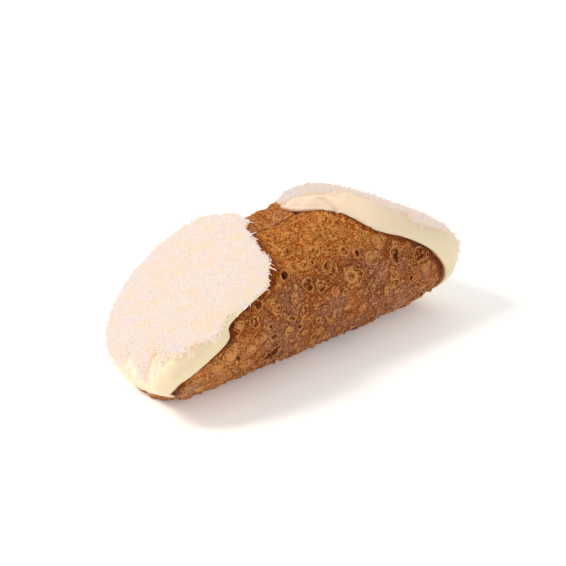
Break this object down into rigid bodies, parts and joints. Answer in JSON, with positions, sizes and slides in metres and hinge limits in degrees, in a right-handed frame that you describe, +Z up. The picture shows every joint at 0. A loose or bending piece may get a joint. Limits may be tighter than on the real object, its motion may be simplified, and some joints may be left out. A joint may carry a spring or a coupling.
{
  "type": "cannoli",
  "caption": "Fried pastry tube lying on its side, with a cream filling that mounds out of both slanted ends under shredded coconut.",
  "frame": {"origin": "on the resting plane, under the middle of the tube's length", "axes": "+X along the tube towards the end whose opening faces away from the usual camera, +Z up, -Y the side that shows the lapped edge of the dough"},
  "size_m": [0.121, 0.0436, 0.0442],
  "materials": {
    "fried_dough": "blistered fried dough, brown, slightly oily",
    "coconut_cream": "smooth off-white cream under matte white coconut shreds"
  },
  "bodies": {
    "root": {"pastry_shell": "fried_dough", "cream_filling": "coconut_cream"}
  },
  "joints": []
}
